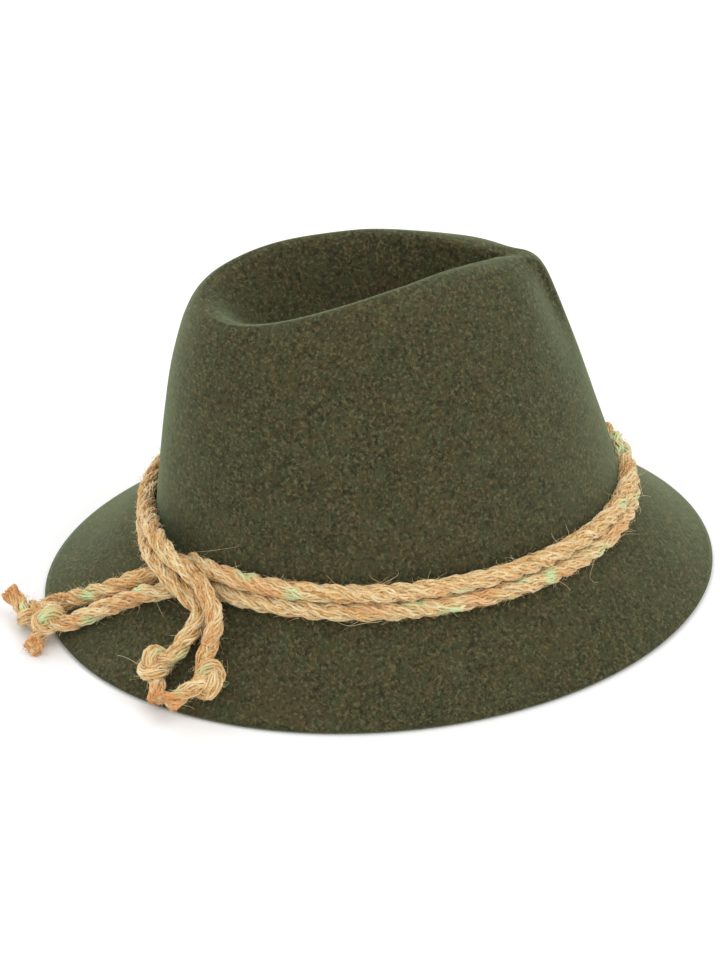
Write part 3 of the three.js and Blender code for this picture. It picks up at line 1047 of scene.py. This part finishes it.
def makeCord(name, band, backTail, backName, downTail, downName, seed):
    # one whole cord, knot to knot, cut into the pieces that the frame has
    backKnot = knotRoute(backTail, *endKnots[backName])
    downKnot = knotRoute(downTail, *endKnots[downName])
    stretches = [
        ("knot", backName, curvePoints(backKnot)[::-1]),
        ("tail", backName, curvePoints(backTail)[::-1]),
        ("band", name, curvePoints(band)),
        ("tail", downName, curvePoints(downTail)),
        ("knot", downName, curvePoints(downKnot)),
    ]
    line = []
    borders = [0.0]
    for _, _, stretch in stretches:
        line += [p - Vector((0, felt["brimSetBack"], 0)) for p in stretch]
        borders.append(sum((a - b).length for a, b in zip(line, line[1:])))
    points, at = evenly(line, jute["step"])
    stations = [int(np.argmin(abs(at - border))) for border in borders]
    radii = np.full_like(at, jute["radius"])
    squeezed = jute["radius"] * jute["knotRadiusShare"]
    for low, high in ((borders[0], borders[1]), (borders[4], borders[5])):
        fromBorder = np.minimum(at - low, high - at) - jute["knotBlendFrom"]
        inside = np.clip(fromBorder / jute["knotBlend"], 0, 1)
        inside = np.where((at >= low) & (at <= high), inside, 0)
        radii += (squeezed - jute["radius"]) * inside * inside * (3 - 2 * inside)
    nearCut = np.clip(1 - np.minimum(at, at[-1] - at) / jute["cutReach"], 0, 1)
    radii *= 1 + (jute["cutFlare"] - 1) * nearCut
    strands = layStrands(points, at, radii, seed)
    frames = twistFreeFrames(points)
    made = {}
    for index, (kind, part, _) in enumerate(stretches):
        first, last = stations[index], stations[index + 1]
        node = {"knot": "end_knot_", "tail": "tail_", "band": "band_cord_"}[kind] + part
        mesh = tubesMesh(node + "_jute", sliceStrands(strands, first, last, at), jute["bevelSteps"])
        piece = addObject(node + "_jute", mesh, juteFinish)
        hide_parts(node)
        span = slice(first, last + 1)
        local = tuple(axis[span] for axis in frames)
        rng = random.Random(seed * 10 + index)
        fibres = []
        for settings in (strayFibres, shortFuzz, longWisps):
            fibres += strayTubes(points[span], at[span], local, radii[span], settings, rng, feltSurface)
        if kind == "knot":
            outward = points[span][::-1] if index == 0 else points[span]
            fibres += frayTubes(outward, jute["radius"], rng, feltSurface)
        fuzzMesh = tubesMesh(node + "_fibres", fibres, fibreHabit["bevelSteps"])
        fuzz = addObject(node + "_fibres", fuzzMesh, juteFinish)
        made[kind, part] = (piece, fuzz, points[span])
        print(node, "made:", len(mesh.polygons), "faces,", len(fibres), "fibres")
    for end in (backName, downName):
        piece, fuzz, path = made["tail", end]
        if end == backName:
            path = path[::-1]


upperRoute = bandRoute(upperTieStart, upperTieEnd, 1)
lowerRoute = bandRoute(lowerTieStart, lowerTieEnd, 0)
makeCord(
    "upper", upperRoute,
    tailRoute(upperRoute[::-1], [], leftUpperPoints), "left_upper",
    tailRoute(upperRoute, downRightTie, downRightPoints), "down_right", 11,
)
makeCord(
    "lower", lowerRoute,
    tailRoute(lowerRoute[::-1], [], leftLowerPoints), "left_lower",
    tailRoute(lowerRoute, downLeftTie, downLeftPoints), "down_left", 23,
)


# Floor and light

studio = {
    "floorSize": 6.0,
    "floorColour": (0.93, 0.93, 0.93, 1),
    "floorRoughness": 0.9,
    "worldColour": (1, 1, 1, 1),
    "worldStrength": 1.0,
    "aim": (0, 0, 0.07),
    "lights": [
        ("keyLight", (-1.1, -0.9, 1.9), 1.4, 12.0),
        ("fillLight", (-1.0, 1.5, 1.3), 1.6, 5.0),
        ("backLight", (1.4, 0.2, 1.6), 1.2, 6.0),
    ],
}


def makeStudio():
    bm = bmesh.new()
    bmesh.ops.create_grid(bm, x_segments=1, y_segments=1, size=studio["floorSize"] / 2)
    mesh = bpy.data.meshes.new("floor")
    bm.to_mesh(mesh)
    bm.free()
    floor = bpy.data.objects.new("floor", mesh)
    scene.collection.objects.link(floor)
    material, nodes, links, shader = newMaterial("pale_floor")
    shader.inputs["Base Color"].default_value = studio["floorColour"]
    shader.inputs["Roughness"].default_value = studio["floorRoughness"]
    mesh.materials.append(material)
    world = bpy.data.worlds.new("studio")
    world.use_nodes = True
    background = world.node_tree.nodes["Background"]
    background.inputs["Color"].default_value = studio["worldColour"]
    background.inputs["Strength"].default_value = studio["worldStrength"]
    scene.world = world
    scene.view_settings.view_transform = "Standard"
    for name, spot, size, power in studio["lights"]:
        data = bpy.data.lights.new(name, "AREA")
        data.size = size
        data.energy = power
        light = bpy.data.objects.new(name, data)
        scene.collection.objects.link(light)
        aim = Vector(studio["aim"]) - Vector(spot)
        light.matrix_world = Matrix.Translation(spot) @ aim.to_track_quat("-Z", "Y").to_matrix().to_4x4()


makeStudio()
print("studio made")
